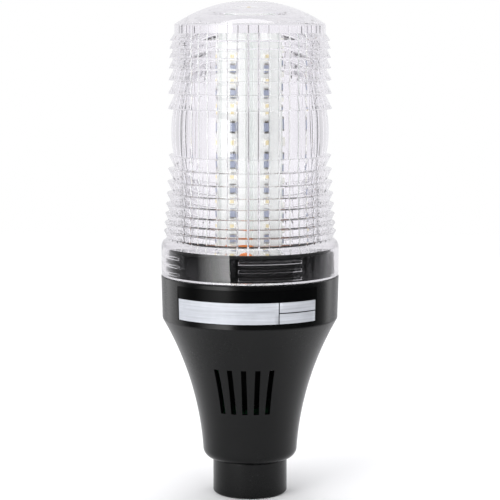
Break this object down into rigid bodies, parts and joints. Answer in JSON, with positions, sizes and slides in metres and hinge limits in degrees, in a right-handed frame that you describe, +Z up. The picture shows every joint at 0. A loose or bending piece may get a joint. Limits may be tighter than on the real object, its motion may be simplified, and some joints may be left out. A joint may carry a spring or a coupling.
{
  "type": "signal light",
  "caption": "Pole-mounted LED signal light: clear drum lens with prism rings that twists off a black bell housing with sound slots, on a round pole socket.",
  "frame": {"origin": "centre of the mouth of the pole bore, on the foot of the socket", "axes": "+Z up along the pole and lens axis, -Y to the front with the sound slots"},
  "size_m": [0.0862, 0.0864, 0.2395],
  "materials": {
    "clear_lens": "clear polished polycarbonate",
    "black_housing": "black satin moulded plastic, fine grain",
    "label_film": "smooth black film, blank",
    "silver_print": "silver print, blank",
    "seal_rubber": "black moulded rubber",
    "white_board": "white solder mask",
    "brown_board": "brown phenolic laminate",
    "green_board": "green solder mask",
    "white_carrier": "white moulded plastic",
    "led_package": "white package with a pale resin window",
    "chip_black": "dark chip body with bright end caps",
    "disc_coat": "orange dipped coat",
    "can_sleeve": "dark shrink sleeve, bare",
    "screw_steel": "zinc plated steel",
    "sounder_lacquer": "brass disc under black lacquer",
    "terminal_plastic": "green moulded terminal body"
  },
  "bodies": {
    "stand": {"bell_housing": "black_housing", "pole_socket": "black_housing", "socket_nut": "black_housing", "lens_base": "black_housing", "buzzer_case": "black_housing", "board_socket": "black_housing", "name_label": "label_film", "label_fields": "silver_print", "lens_seal": "seal_rubber", "led_base_board": "brown_board", "driver_board": "green_board", "led_pillar": "white_carrier", "top_board": "white_board", "board_leds": "led_package", "top_leds": "led_package", "board_resistors": "chip_black", "driver_chip": "chip_black", "disc_capacitor": "disc_coat", "reservoir_capacitor": "can_sleeve", "buzzer_plate": "sounder_lacquer", "terminal_block": "terminal_plastic", "terminal_screws": "screw_steel", "pole_clamp_screws": "screw_steel", "base_screws": "screw_steel", "pillar_screws": "screw_steel", "driver_board_screws": "screw_steel", "led_board_1": "white_board", "led_board_2": "white_board", "led_board_3": "white_board", "led_board_4": "white_board", "led_board_5": "white_board", "led_board_6": "white_board"},
    "lens": {"drum_lens": "clear_lens"}
  },
  "joints": [
    {"name": "lens_twist", "type": "hinge", "parent": "stand", "child": "lens", "pos_m": [0, 0, 0.115], "axis": [0, 0, 1], "range_deg": [0, 40]}
  ]
}
